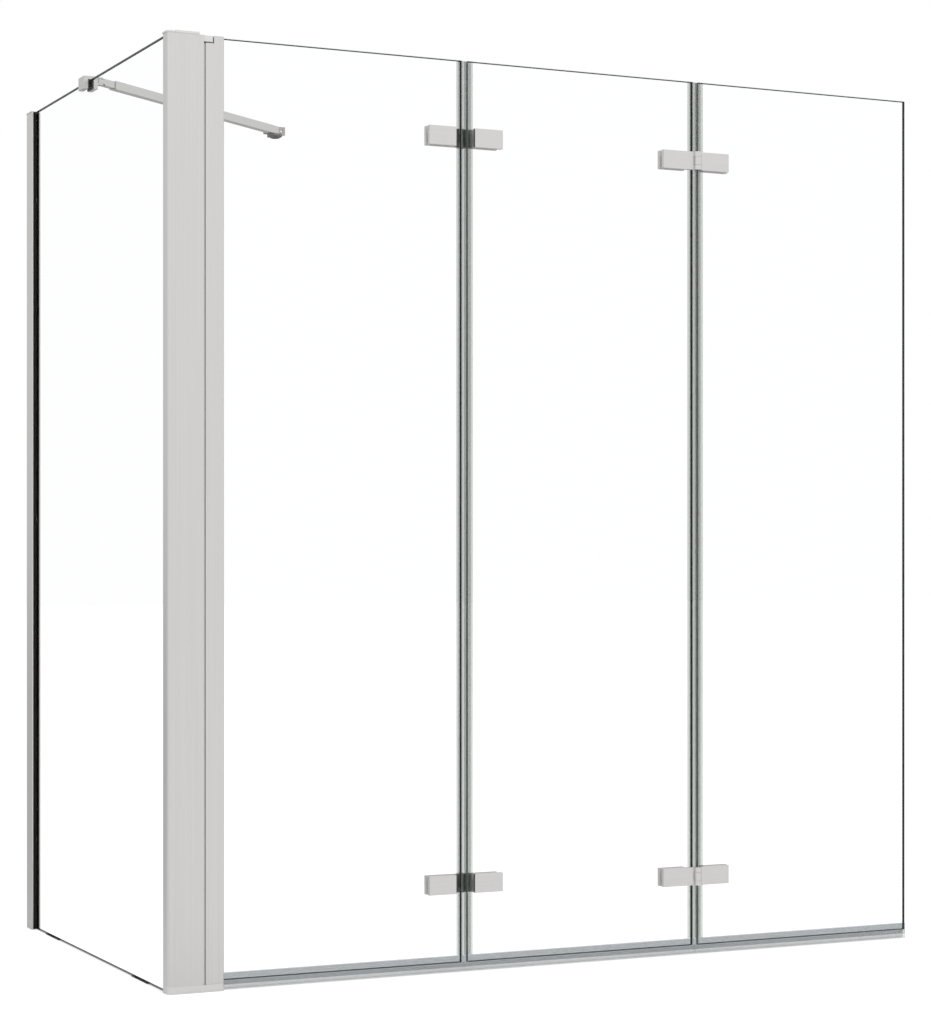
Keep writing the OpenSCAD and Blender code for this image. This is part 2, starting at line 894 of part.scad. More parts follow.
module hinge_fork(joint)
    color(satin)
        difference() {
            union() {
                plate_body(-1, knuckle_x(-1), [plate_in, plate_out]);
                hinge_web(-1);
                knuckle(-1, [-hinge_h / 2, -tongue_h / 2 - slack]);
                knuckle(-1, [tongue_h / 2 + slack, hinge_h / 2]);
            }
            knuckle_holes(joint, -1);
            translate([0, pin_y, 0])
                cylinder(r = hinge_pin_r + snug, h = hinge_h + cut, center = true);
        }

module hinge_tongue(joint)
    color(satin)
        difference() {
            union() {
                plate_body(1, knuckle_x(1), [plate_in, plate_out]);
                hinge_web(1);
                knuckle(1, [-tongue_h / 2, tongue_h / 2]);
            }
            knuckle_holes(joint, 1);
            translate([0, pin_y, 0])
                cylinder(r = hinge_pin_r + running, h = tongue_h + cut, center = true);
        }

module hinge_covers(joint, side)
    color(satin)
        at_hinges(joint)
            difference() {
                plate_body(side, cover_x(side), [-plate_out, -plate_in]);
                cover_holes(joint, side);
            }

module hinge_pins(joint)
    color(steel)
        at_hinges(joint)
            translate([0, pin_y, 0])
                cylinder(r = hinge_pin_r, h = hinge_h + 2 * pin_proud, center = true);

// Rubber between plates and glass, one piece with the sleeves in the glass holes
module hinge_rubber(joint, side)
    at_hinges(joint)
        difference() {
            union() {
                plate_body(side, cover_x(side), [-plate_in, -half_glass]);
                plate_body(side, knuckle_x(side), [half_glass, plate_in]);
                screw_sites(side)
                    rod_y(sleeve_r, [-plate_in, plate_in]);
            }
            screw_sites(side)
                rod_y(screw_r + slack, [-plate_in - cut, plate_in + cut]);
        }

// Turns its children round for joint B, so that the screw heads stay on the bath side
module bath_side(joint)
    if (joint == "a")
        children();
    else
        mirror([0, 1, 0])
            children();

module hinge_screws(joint, side)
    at_hinges(joint)
        bath_side(joint)
            screw_sites(side)
                difference() {
                    union() {
                        rod_y(screw_r, [-plate_in - screw_bite + slack, plate_out - screw_head_t]);
                        rod_y(screw_head_r, [plate_out - screw_head_t, plate_out - slack]);
                    }
                    translate([0, plate_out - slack - key_depth, 0])
                        rotate([-90, 0, 0])
                            cylinder(r = key_r, h = key_depth + cut, $fn = 6);
                }

// Vertical seal on the leaf before (-1) or after (1) a joint at x; the leaf before carries
// the fin with the soft bulb
function seal_end(side) = leaf_gap / 2 + edge_cover - (side < 0 ? fin_less : 0);

module edge_seal(x, side)
    color(seal_grey)
        translate([x, 0, 0])
            rise([edge_base_z, edge_top_z]) {
                mirror([side < 0 ? 0 : 1, 0, 0])
                    difference() {
                        rect([-seal_end(side), -edge_end],
                             [-half_glass - edge_wall, half_glass + edge_wall]);
                        rect([-seal_end(side) - cut, -leaf_gap / 2],
                             [-half_glass, half_glass]);
                    }
                if (side < 0) {
                    rect([-edge_end, edge_end - bulb_r - free], [-fin_t / 2, fin_t / 2]);
                    translate([edge_end - bulb_r - free, 0])
                        circle(bulb_r);
                }
            }

module bottom_seal_shape()
    difference() {
        polygon([[-seal_out, seal_top], [-seal_out, lip_h],
                 [-lip_out, 0], [-lip_out + lip_t, 0],
                 [-seal_out + lip_t, lip_h], [seal_out - lip_t, lip_h],
                 [lip_out - lip_t, 0], [lip_out, 0],
                 [seal_out, lip_h], [seal_out, seal_top]]);
        rect([-half_glass, half_glass], [leaf_bottom, seal_top + cut]);
        rect([-half_glass, half_glass], [lip_h + bottom_wall, seal_floor]);
    }

module bottom_seal(n)
    color(seal_grey)
        along_x([n == 1 ? pivot_out + slack : leaf_left(n) - leaf_gap / 2 + slack,
                 leaf_left(n) + leaf_w + (n < 3 ? leaf_gap / 2 : 0) - slack])
            bottom_seal_shape();

module glass_1() pane(1, [["a", -1]]);
module glass_2() pane(2, [["a", 1], ["b", -1]]);
module glass_3() pane(3, [["b", 1]]);

module hinge_gaskets_1()
    color(black)
        hinge_rubber("a", -1);

module hinge_gaskets_2()
    color(black) {
        hinge_rubber("a", 1);
        hinge_rubber("b", -1);
    }

module hinge_gaskets_3()
    color(black)
        hinge_rubber("b", 1);

module hinge_screws_1()
    color(steel)
        hinge_screws("a", -1);

module hinge_screws_2()
    color(steel) {
        hinge_screws("a", 1);
        hinge_screws("b", -1);
    }

module hinge_screws_3()
    color(steel)
        hinge_screws("b", 1);

corner_profile();
front_profile();
corner_cap();
post_cap();
top_pivot_block();
post_foot();
top_pivot_pin();
bottom_pivot_pin();
pivot_washer();
joining_screws();
side_glass();
side_gasket();
setting_blocks();
wall_channel();
wall_gasket_outer();
wall_gasket_inner();
channel_cap();
brace_clamp();
clamp_pad();
clamp_screws();
swivel_pin();
brace_rod();
brace_tube();
brace_end();
slide_screw();
wall_bracket();
bracket_bolt();
pivot_profile();
pivot_bushes();
leaf_gasket();
glass_1();
bottom_seal(1);  // bottom_seal_1
edge_seal(joint_a_x, -1);  // edge_seal_1_right
at_hinges("a", [1]) hinge_fork("a");  // hinge_a_fork_upper
at_hinges("a", [0]) hinge_fork("a");  // hinge_a_fork_lower
hinge_covers("a", -1);  // hinge_a_covers_1
hinge_pins("a");  // hinge_a_pins
hinge_gaskets_1();
hinge_screws_1();
glass_2();
bottom_seal(2);  // bottom_seal_2
edge_seal(joint_a_x, 1);  // edge_seal_2_left
edge_seal(joint_b_x, -1);  // edge_seal_2_right
at_hinges("a", [1]) hinge_tongue("a");  // hinge_a_tongue_upper
at_hinges("a", [0]) hinge_tongue("a");  // hinge_a_tongue_lower
hinge_covers("a", 1);  // hinge_a_covers_2
at_hinges("b", [1]) hinge_fork("b");  // hinge_b_fork_upper
at_hinges("b", [0]) hinge_fork("b");  // hinge_b_fork_lower
hinge_covers("b", -1);  // hinge_b_covers_2
hinge_pins("b");  // hinge_b_pins
hinge_gaskets_2();
hinge_screws_2();
glass_3();
bottom_seal(3);  // bottom_seal_3
edge_seal(joint_b_x, 1);  // edge_seal_3_left
at_hinges("b", [1]) hinge_tongue("b");  // hinge_b_tongue_upper
at_hinges("b", [0]) hinge_tongue("b");  // hinge_b_tongue_lower
hinge_covers("b", 1);  // hinge_b_covers_3
hinge_gaskets_3();
hinge_screws_3();
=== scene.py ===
"""Folding bath screen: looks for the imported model, in metres, in the model's own frame."""

import json
import math

import bmesh
import bpy
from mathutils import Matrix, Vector


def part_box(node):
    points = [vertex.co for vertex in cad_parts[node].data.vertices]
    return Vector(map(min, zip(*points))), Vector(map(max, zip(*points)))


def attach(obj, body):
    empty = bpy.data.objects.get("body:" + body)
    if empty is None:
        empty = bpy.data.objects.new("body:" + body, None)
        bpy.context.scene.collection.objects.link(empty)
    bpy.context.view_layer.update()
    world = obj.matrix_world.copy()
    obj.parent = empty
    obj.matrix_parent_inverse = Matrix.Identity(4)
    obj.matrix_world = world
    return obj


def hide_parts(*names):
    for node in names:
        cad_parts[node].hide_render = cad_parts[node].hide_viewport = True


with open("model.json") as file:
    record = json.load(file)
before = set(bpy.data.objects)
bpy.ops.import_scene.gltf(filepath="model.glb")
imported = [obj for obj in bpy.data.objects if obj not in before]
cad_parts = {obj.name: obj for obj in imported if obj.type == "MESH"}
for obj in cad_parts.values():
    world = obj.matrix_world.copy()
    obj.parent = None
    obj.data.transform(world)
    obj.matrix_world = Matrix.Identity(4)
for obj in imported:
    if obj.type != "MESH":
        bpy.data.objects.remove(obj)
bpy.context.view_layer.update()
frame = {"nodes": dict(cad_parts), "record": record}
record = frame["record"]
nodes = frame["nodes"]
body_of = {n: b for b, members in record["behaviour"]["bodies"].items() for n in members}
slot_of = {s["node"]: s["material_slot"] for s in record["subparts"]}
scene = bpy.context.scene
MM = 0.001
MERGE = 2e-6              # distance in metres at which vertices count as one
FLAT = math.radians(0.8)  # edges flatter than this are dropped before a piece is eased
HARD = math.radians(40)   # edges harder than this are eased
ROUND_SIDES = 40          # sides of a round hole

# ---------- sizes in millimetres, as in the CAD source but for the finest forms ----------

GLASS_HALF = 2.95         # half of a pane, a hair thinner so that no face lies on a seal's
ARRIS = 1.2               # ground edge of the leaves' panes
SIDE_ARRIS = 0.5          # the same on the side pane
HOLE_R = 7.8              # holes in the panes at the hinge screws
BOSS_TOP = 1391.5         # height at which the bracket's boss meets its plate

SHEET = 2.0               # wall of the hollow profiles
POST_HALF = 14.0          # half depth of the post
POST_IN = POST_HALF - SHEET
PROFILE_Z = (11.0, 1396.0)
PAST_TOP = 1400.0         # height that ends a cut above the profiles
PAST_NOSE = 20.0          # distance from the pivot that ends a cut beside its profile

# outlines of the three profiles: sides, slots for the glass, radii, and where their tops are
# cut away for the pivot block
CORNER = {"x": (-63.0, -51.0), "slot": (-61.0, -53.0), "floor": -7.0, "outer_lip": 8.0,
          "inner_lip": 24.0, "r": 8.0, "chamber": (-59.0, -53.0)}
FRONT = {"x": (-51.0, -7.6), "socket_r": 15.13, "cut": (-31.1, 1386.5)}
PIVOT = {"z": (11.1, 1396.0), "nose_r": 14.83, "out": 24.0, "slot": (12.3, 4.2), "edge_r": 3.0,
         "bore_r": 5.02, "notch": (7.9, 1384.8)}
GROOVE = 10.2             # depth of the line beside the nose, from the mid-plane

SEAL_IN = 3.05            # inner half width of the seals
SEAL_OUT = 3.95           # outer half width of the vertical seals
SEAL_REACH = {-1: 11.0, 1: 13.5}    # from the joint's middle to the end of the legs
SEAL_FLOOR = 4.55         # from the joint's middle to the glass
SEAL_BACK = 3.5           # from the joint's middle to the seal
FIN_HALF = 0.8            # half thickness of the fin, which carries a hollow bulb
BULB = {"x": 1.2, "r": 2.0, "bore_r": 1.3, "open": 156}     # open: degrees, up to the fin

# ---------- looks ----------

GLASS_GLOSS = 0.10        # how much of a mirror's gloss the panes show
TINT_SPAN = 25.0          # height over which the bottom seals' tint changes
RAMP_ENDS = (0.3, 0.7)    # noise values that give a ramp's two ends
WORLD_LIGHT = 0.62        # strength of the world's light on the object
MIRRORED_WORLD = ((-0.2, 0.9), (1.0, 0.78))     # span of Y, from the front to the back, and
MIRRORED_FLOOR = ((-0.6, 1.2), (0.40, 0.05))    # the strength that mirrors show at its ends
FLOOR_GLOW = 0.62         # added to the lit floor where it is seen, to make it white
FLOOR_DROP = 0.0005       # metres between the model's foot and the floor


# ---------- mesh helpers ----------

def link(name, mesh, materials, smooth=35):
    """A new object for mesh, smooth where its faces meet at less than smooth degrees."""
    for m in materials:
        mesh.materials.append(m)
    mesh.shade_smooth()
    mesh.set_sharp_from_angle(angle=math.radians(smooth))
    obj = bpy.data.objects.new(name, mesh)
    scene.collection.objects.link(obj)
    flats = obj.modifiers.new("flat_faces", "WEIGHTED_NORMAL")
    flats.keep_sharp = True
    return obj


def stand_for(obj, node):
    """obj takes the place and the body of the CAD node it stands for."""
    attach(obj, body_of[node])
    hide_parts(node)


def fillet(corners):
    """Closed outline from (x, y) or (x, y, radius) corners and ready arcs, in order."""
    flat = []
    for c in corners:
        flat += c if isinstance(c, list) else [c]
    points = []
    count = len(flat)
    for i, c in enumerate(flat):
        p = Vector(c[:2])
        r = c[2] if len(c) > 2 else 0.0
        if not r:
            points.append(p)
            continue
        a = (Vector(flat[i - 1][:2]) - p).normalized()
        b = (Vector(flat[(i + 1) % count][:2]) - p).normalized()
        half = a.angle(b) / 2
        reach = r / math.tan(half)
        centre = p + (a + b).normalized() * (r / math.sin(half))
        start, end = p + a * reach - centre, p + b * reach - centre
        turn = start.angle_signed(end)
        per_quarter = max(3, min(12, r * 1.6))
        steps = max(2, round(abs(turn) / math.radians(90) * per_quarter))
        for k in range(steps + 1):
            t = -turn * k / steps
            points.append(centre + Vector((start.x * math.cos(t) - start.y * math.sin(t),
                                           start.x * math.sin(t) + start.y * math.cos(t))))
    return points


def arc(centre, r, start, end, steps):
    """Points on an arc in degrees from start to end, both included."""
    turns = [math.radians(start + (end - start) * k / steps) for k in range(steps + 1)]
    return [Vector((centre[0] + r * math.cos(t), centre[1] + r * math.sin(t))) for t in turns]


def circle(centre, r, count):
    return arc(centre, r, 0, 360 - 360 / count, count - 1)


def bar(loops, ends, place):
    """A bmesh of a straight bar: loops (the outline first, then holes) swept between ends.
    place(u, v, w) turns section and length into x, y, z in millimetres."""
    bm = bmesh.new()
    rims = ([], [])
    for loop in loops:
        rings = [[bm.verts.new(Vector(place(p[0], p[1], w)) * MM) for p in loop] for w in ends]
        n = len(loop)
        for i in range(n):
            j = (i + 1) % n
            bm.faces.new((rings[0][i], rings[0][j], rings[1][j], rings[1][i]))
        for rim, ring in zip(rims, rings):
            rim += [bm.edges.get((ring[i], ring[(i + 1) % n])) for i in range(n)]
    for rim in rims:
        bmesh.ops.triangle_fill(bm, edges=rim, use_beauty=True, use_dissolve=False)
    bmesh.ops.recalc_face_normals(bm, faces=bm.faces)
    return bm


def upright(u, v, w):
    return u, v, w


def along_x(u, v, w):
    return w, u, v


def block(lo, hi):
    """A bmesh box between two corners in millimetres."""
    bm = bmesh.new()
    bmesh.ops.create_cube(bm, size=1)
    for v in bm.verts:
        v.co = Vector([(lo[k] if v.co[k] < 0 else hi[k]) * MM for k in range(3)])
    return bm


def rod(centre, r, half_length):
    """A bmesh cylinder along Y about centre, in millimetres."""
    bm = bmesh.new()
    bmesh.ops.create_cone(bm, cap_ends=True, segments=ROUND_SIDES, radius1=r * MM,
                          radius2=r * MM, depth=2 * half_length * MM)
    for v in bm.verts:
        x, y, z = v.co
        v.co = Vector((y, z, x)) + Vector(centre) * MM
    return bm


def to_mesh(bm):
    mesh = bpy.data.meshes.new("mesh")
    bm.to_mesh(mesh)
    bm.free()
    return mesh


def carved(bm, cutters):
    """bm with the cutters taken out of it."""
    base = bpy.data.objects.new("carve", to_mesh(bm))
    scene.collection.objects.link(base)
    tools = []
    for c in cutters:
        tool = bpy.data.objects.new("cutter", to_mesh(c))
        scene.collection.objects.link(tool)
        mod = base.modifiers.new("cut", "BOOLEAN")
        mod.operation, mod.solver, mod.object = "DIFFERENCE", "EXACT", tool
        tools.append(tool)
    deps = bpy.context.evaluated_depsgraph_get()
    result = bmesh.new()
    result.from_mesh(base.evaluated_get(deps).to_mesh())
    for o in [base, *tools]:
        mesh = o.data
        bpy.data.objects.remove(o)
        bpy.data.meshes.remove(mesh)
    return result


def refined(node, width, material):
    """The CAD node's shape with its hard edges rounded over width millimetres."""
    bm = bmesh.new()
    bm.from_mesh(nodes[node].data)
    bmesh.ops.remove_doubles(bm, verts=bm.verts, dist=MERGE)
    bmesh.ops.dissolve_limit(bm, angle_limit=FLAT, verts=bm.verts, edges=bm.edges)
    hard = [e for e in bm.edges if len(e.link_faces) == 2 and e.calc_face_angle(0) > HARD]
    bmesh.ops.bevel(bm, geom=hard, offset=width * MM, segments=2, profile=0.5,
                    affect="EDGES", clamp_overlap=True)
    bmesh.ops.recalc_face_normals(bm, faces=bm.faces)
    stand_for(link(node + "_eased", to_mesh(bm), [material]), node)


# ---------- materials ----------

def node_tree(name):
    mat = bpy.data.materials.new(name)
    mat.use_nodes = True
    tree = mat.node_tree
    return mat, tree, tree.nodes["Principled BSDF"]


def add(tree, kind, **values):
    """A new shader node; values go to its inputs or, failing that, to its settings."""
    n = tree.nodes.new(kind)
    for key, value in values.items():
        if key in n.inputs:
            n.inputs[key].default_value = value
        else:
            setattr(n, key, value)
    return n


def feed(tree, socket, value):
    """Sets a socket to a number, or links an output to it."""
    if isinstance(value, (int, float)):
        socket.default_value = value
    else:
        tree.links.new(value, socket)


def calculate(tree, operation, a, b):
    """A Math node's output; a and b are numbers or outputs."""
    n = add(tree, "ShaderNodeMath", operation=operation)
    feed(tree, n.inputs[0], a)
    feed(tree, n.inputs[1], b)
    return n.outputs[0]


def coordinate(tree, kind, axis):
    """One axis of a texture coordinate."""
    coords = add(tree, "ShaderNodeTexCoord")
    split = add(tree, "ShaderNodeSeparateXYZ")
    tree.links.new(coords.outputs[kind], split.inputs[0])
    return split.outputs[axis]


def fade(tree, source, span, values):
    """A number that runs from the first value to the second while source runs over span."""
    n = add(tree, "ShaderNodeMapRange")
    for key, value in zip(("From Min", "From Max", "To Min", "To Max"), (*span, *values)):
        n.inputs[key].default_value = value
    tree.links.new(source, n.inputs["Value"])
    return n.outputs["Result"]


def noise(tree, scale, detail, stretch=(1, 1, 1)):
    """Noise on the object's own coordinates, stretched."""
    coords = add(tree, "ShaderNodeTexCoord")
    mapping = add(tree, "ShaderNodeMapping")
    mapping.inputs["Scale"].default_value = stretch
    tex = add(tree, "ShaderNodeTexNoise", Scale=scale, Detail=detail)
    tree.links.new(coords.outputs["Object"], mapping.inputs["Vector"])
    tree.links.new(mapping.outputs["Vector"], tex.inputs["Vector"])
    return tex.outputs["Fac"]


def around(colour, share):
    """colour darker and lighter by a share, as a ramp's two ends."""
    return (tuple(c * (1 - share) for c in colour) + (1,),
            tuple(min(1, c * (1 + share)) for c in colour) + (1,))


def ramp(tree, source, ends, socket):
    """Links a colour or a number that runs between ends with source to a socket."""
    r = add(tree, "ShaderNodeValToRGB")
    for element, position, value in zip(r.color_ramp.elements, RAMP_ENDS, ends):
        element.position = position
        element.color = value if isinstance(value, tuple) else (value, value, value, 1)
    tree.links.new(source, r.inputs["Fac"])
    tree.links.new(r.outputs["Color"], socket)


def bump(tree, source, bsdf, strength, distance):
    b = add(tree, "ShaderNodeBump", Strength=strength, Distance=distance)
    tree.links.new(source, b.inputs["Height"])
    tree.links.new(b.outputs["Normal"], bsdf.inputs["Normal"])


def blended(tree, share, first, second):
    """Makes the surface a mix of two shaders, with share of the second."""
    mix = add(tree, "ShaderNodeMixShader")
    feed(tree, mix.inputs["Fac"], share)
    tree.links.new(first.outputs["BSDF"], mix.inputs[1])
    tree.links.new(second.outputs["BSDF"], mix.inputs[2])
    tree.links.new(mix.outputs["Shader"], tree.nodes["Material Output"].inputs["Surface"])


def satin_metal(name, colour, rough, stretch, grain=900.0):
    """Satin metal: fine lines along one direction in colour, roughness and bump."""
    mat, tree, bsdf = node_tree(name)
    bsdf.inputs["Metallic"].default_value = 1.0
    lines = noise(tree, grain, 3.0, stretch)
    ramp(tree, lines, around(colour, 0.03), bsdf.inputs["Base Color"])
    ramp(tree, lines, (rough - 0.04, rough + 0.05), bsdf.inputs["Roughness"])
    bump(tree, lines, bsdf, 0.06, 0.00004)
    return mat


def plain(name, colour, rough, mottle=0.04, scale=400.0, metallic=0.0, specular=0.5):
    """A moulded or turned surface with a slight mottle."""
    mat, tree, bsdf = node_tree(name)
    bsdf.inputs["Metallic"].default_value = metallic
    bsdf.inputs["Specular IOR Level"].default_value = specular
    spots = noise(tree, scale, 4.0)
    ramp(tree, spots, around(colour, mottle), bsdf.inputs["Base Color"])
    ramp(tree, spots, (rough - 0.03, rough + 0.04), bsdf.inputs["Roughness"])
    bump(tree, spots, bsdf, 0.08, 0.00005)
    return mat


def paint_shade_below(mat, level, factor):
    """Paints shade into a material's colour: turns it down by factor below a height in
    millimetres.
    """
    tree = mat.node_tree
    colour = tree.nodes["Principled BSDF"].inputs["Base Color"]
    painted_shade_step = fade(tree, coordinate(tree, "Object", "Z"), ((level - 1) * MM, (level + 1) * MM),
                (factor, 1.0))
    scaled = add(tree, "ShaderNodeVectorMath", operation="SCALE")
    tree.links.new(colour.links[0].from_socket, scaled.inputs[0])
    tree.links.new(painted_shade_step, scaled.inputs["Scale"])
    tree.links.new(scaled.outputs["Vector"], colour)


def clear_plastic(name, tints, colour, share, stretch=(1, 1, 0.02)):
    """Clear soft plastic. tints: what one surface lets through, from each height (mm) on;
    share: how much of its own colour shows."""
    mat, tree, bsdf = node_tree(name)
    lines = noise(tree, 300.0, 2.0, stretch)
    ramp(tree, lines, around(colour, 0.08), bsdf.inputs["Base Color"])
    ramp(tree, lines, (0.22, 0.32), bsdf.inputs["Roughness"])
    clear = add(tree, "ShaderNodeBsdfTransparent", Color=(*tints[0][1], 1))
    if len(tints) > 1:
        bands = add(tree, "ShaderNodeValToRGB")
        bands.color_ramp.interpolation = "CONSTANT"
        for i, (z, tint) in enumerate(tints):
            element = (bands.color_ramp.elements[i] if i < 2
                       else bands.color_ramp.elements.new(1.0))
            element.position, element.color = z / TINT_SPAN, (*tint, 1)
        height = coordinate(tree, "Object", "Z")
        feed(tree, bands.inputs["Fac"], calculate(tree, "DIVIDE", height, TINT_SPAN * MM))
        tree.links.new(bands.outputs["Color"], clear.inputs["Color"])
    blended(tree, share, clear, bsdf)
    return mat


def clear_glass(name):
    """Clear toughened glass: see-through, with a faint gloss on the sides that face out."""
    mat, tree, bsdf = node_tree(name)
    tree.nodes.remove(bsdf)
    clear = add(tree, "ShaderNodeBsdfTransparent", Color=(0.997, 0.9995, 0.9985, 1))
    gloss = add(tree, "ShaderNodeBsdfAnisotropic", Roughness=0.02)
    weight = add(tree, "ShaderNodeFresnel", IOR=1.5)
    side = add(tree, "ShaderNodeNewGeometry")
    outer = calculate(tree, "SUBTRACT", 1.0, side.outputs["Backfacing"])
    share = calculate(tree, "MULTIPLY", weight.outputs["Fac"], outer)
    blended(tree, calculate(tree, "MULTIPLY", share, GLASS_GLOSS), clear, gloss)
    return mat


def glass_edge(name, outside, painted_dark_colour):
    """Ground glass edge: pale from outside; where it is seen through the pane it gets a
    near-black painted shade, standing in for the dark line a glass edge shows through the pane.
    """
    mat, tree, bsdf = node_tree(name)
    grain = noise(tree, 60.0, 3.0)
    mix = add(tree, "ShaderNodeMix", data_type="RGBA")
    factor, pale, dark = mix.inputs[0], mix.inputs[6], mix.inputs[7]
    side = add(tree, "ShaderNodeNewGeometry")
    tree.links.new(side.outputs["Backfacing"], factor)
    ramp(tree, grain, around(outside, 0.1), pale)
    dark.default_value = (*painted_dark_colour, 1)
    tree.links.new(mix.outputs[2], bsdf.inputs["Base Color"])
    ramp(tree, grain, (0.32, 0.40), bsdf.inputs["Roughness"])
    bsdf.inputs["Specular IOR Level"].default_value = 0.3
    return mat


ANODISED = satin_metal("anodised_profile", (0.68, 0.668, 0.655), 0.36, (1, 1, 0.004))
CAP_METAL = satin_metal("satin_cap", (0.74, 0.73, 0.72), 0.38, (0.01, 1, 1))
HINGE_METAL = satin_metal("satin_hinge", (0.68, 0.67, 0.655), 0.36, (0.01, 1, 1), 1200.0)
BAR_METAL = satin_metal("satin_bar", (0.62, 0.622, 0.605), 0.36, (0.02, 0.02, 1), 1200.0)
# painted shade: the bracket's colour is set well below the other metals, standing in for the
# shadow its plate sits in behind the bar's end
BRACKET_METAL_PAINTED_SHADE = plain("satin_casting_painted_shade", (0.43, 0.42, 0.415), 0.38, metallic=1.0, scale=700.0)
# painted shade: the boss under the bracket's plate is turned down to half its colour, standing in
# for the shade under the bar and against the wall
paint_shade_below(BRACKET_METAL_PAINTED_SHADE, BOSS_TOP, 0.5)
STEEL = plain("turned_steel", (0.50, 0.50, 0.50), 0.30, metallic=1.0, scale=900.0)
RUBBER = plain("black_rubber", (0.010, 0.010, 0.009), 0.60, 0.15, specular=0.15)
PALE_RUBBER = plain("pale_rubber", (0.78, 0.78, 0.76), 0.60)
# painted light on the inner wall gasket: it is black rubber, given this grey so that it reads
# lighter where it sits in shade behind the side pane; the clamp pad gets the same grey
GREY_PAD_AND_LIT_GASKET_RUBBER = plain("grey_pad_and_lit_gasket_rubber", (0.11, 0.105, 0.10), 0.60)
NYLON = plain("white_nylon", (0.78, 0.78, 0.75), 0.45)
GLASS = clear_glass("clear_glass")
# the second colour is the painted shade of the panes' edges where they are seen through the glass
GLASS_EDGE = glass_edge("glass_edge", (0.38, 0.44, 0.42), (0.010, 0.018, 0.013))
EDGE_SEAL = clear_plastic("edge_seal", [(0, (0.805, 0.815, 0.808))], (0.30, 0.31, 0.305), 0.04)
BOTTOM_TINTS = [(0, (0.865, 0.868, 0.87)), (3.1, (0.90, 0.90, 0.90)),
                (6.3, (0.765, 0.778, 0.785)), (13.4, (0.828, 0.838, 0.845))]
BOTTOM_SEAL = clear_plastic("bottom_seal", BOTTOM_TINTS, (0.30, 0.32, 0.33), 0.08, (0.02, 1, 1))

CAD_LOOKS = {"black_rubber": RUBBER, "pale_rubber": PALE_RUBBER, "nylon": NYLON, "steel": STEEL,
             "profile_metal": ANODISED, "hinge_metal": HINGE_METAL, "brace_metal": BAR_METAL,
             "bracket_metal": BRACKET_METAL_PAINTED_SHADE, "glass": GLASS, "edge_seal": EDGE_SEAL,
             "bottom_seal": BOTTOM_SEAL}
NODE_LOOKS = {"wall_gasket_inner": GREY_PAD_AND_LIT_GASKET_RUBBER, "clamp_pad": GREY_PAD_AND_LIT_GASKET_RUBBER}
for name, obj in nodes.items():
    obj.data.materials.clear()
    obj.data.materials.append(NODE_LOOKS.get(name) or CAD_LOOKS[slot_of[name]])

# ---------- panes ----------


def pane(node, thin, arris, holes=()):
    """A pane with ground edges; thin is the index of its thin axis."""
    lo, hi = [list(v / MM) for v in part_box(node)]
    mid = (lo[thin] + hi[thin]) / 2
    lo[thin], hi[thin] = mid - GLASS_HALF, mid + GLASS_HALF
    bm = block(lo, hi)
    bmesh.ops.bevel(bm, geom=bm.edges[:], offset=arris * MM, segments=2, profile=0.5,
                    affect="EDGES")
    if holes:
        bm = carved(bm, [rod((x, 0, z), HOLE_R, 20) for x, z in holes])
    bm.normal_update()
    for f in bm.faces:
        broad = abs(f.normal[thin]) > 0.95
        f.material_index = 0 if broad else 1
    stand_for(link(node + "_pane", to_mesh(bm), [GLASS, GLASS_EDGE], 20), node)


def screw_holes(screws):
    """Where the hinge screws pass a leaf: X and Z of the middle of each separate screw."""
    bm = bmesh.new()
    bm.from_mesh(nodes[screws].data)
    bmesh.ops.remove_doubles(bm, verts=bm.verts, dist=MERGE)
    spots = []
    left = set(bm.verts)
    while left:
        stack, island = [left.pop()], []
        while stack:
            v = stack.pop()
            island.append(v.co.copy())
            for e in v.link_edges:
                w = e.other_vert(v)
                if w in left:
                    left.remove(w)
                    stack.append(w)
        xs, zs = [p.x for p in island], [p.z for p in island]
        spots.append(((min(xs) + max(xs)) / 2 / MM, (min(zs) + max(zs)) / 2 / MM))
    bm.free()
    return sorted(spots)


pane("side_glass", 0, SIDE_ARRIS)
for leaf in (1, 2, 3):
    pane(f"glass_{leaf}", 1, ARRIS, screw_holes(f"hinge_screws_{leaf}"))

# ---------- profiles ----------


def profile(node, outline, holes, ends, cutters=()):
    bm = bar([outline, *holes], ends, upright)
    if cutters:
        bm = carved(bm, cutters)
    stand_for(link(node + "_drawn", to_mesh(bm), [ANODISED], 25), node)


left, right = CORNER["x"]
slot_left, slot_right = CORNER["slot"]
in_left, in_right = CORNER["chamber"]
floor_y, outer_lip, inner_lip = CORNER["floor"], CORNER["outer_lip"], CORNER["inner_lip"]
profile("corner_profile",
        fillet([(left, -POST_HALF, CORNER["r"]), (right, -POST_HALF, 0.12),
                (right, inner_lip, 0.5), (slot_right, inner_lip, 0.5),
                (slot_right, floor_y, 0.4), (slot_left, floor_y, 0.4),
                (slot_left, outer_lip, 0.5), (left, outer_lip, 0.6)]),
        [fillet([(in_left, -POST_IN, 1.0), (in_right, -POST_IN, 0.4),
                 (in_right, floor_y - SHEET, 0.4), (in_left, floor_y - SHEET, 0.4)])],
        PROFILE_Z)

left, right = FRONT["x"]
socket_r = FRONT["socket_r"]
mouth = math.degrees(math.asin(math.sqrt(socket_r ** 2 - right ** 2) / socket_r))
inner_r = socket_r + SHEET
inner = math.degrees(math.asin(POST_IN / inner_r))
cut_x, cut_z = FRONT["cut"]
profile("front_profile",
        fillet([(left, -POST_HALF, 0.12), (right, -POST_HALF, 0.2),
                arc((0, 0), socket_r, 180 + mouth, 180 - mouth, 28),
                (right, POST_HALF), (left, POST_HALF)]),
        [[Vector((left + SHEET, -POST_IN))]
         + arc((0, 0), inner_r, 180 + inner, 180 - inner, 20)
         + [Vector((left + SHEET, POST_IN))]],
        PROFILE_Z,
        [block((cut_x, -POST_IN, cut_z), (0, POST_IN, PAST_TOP))])

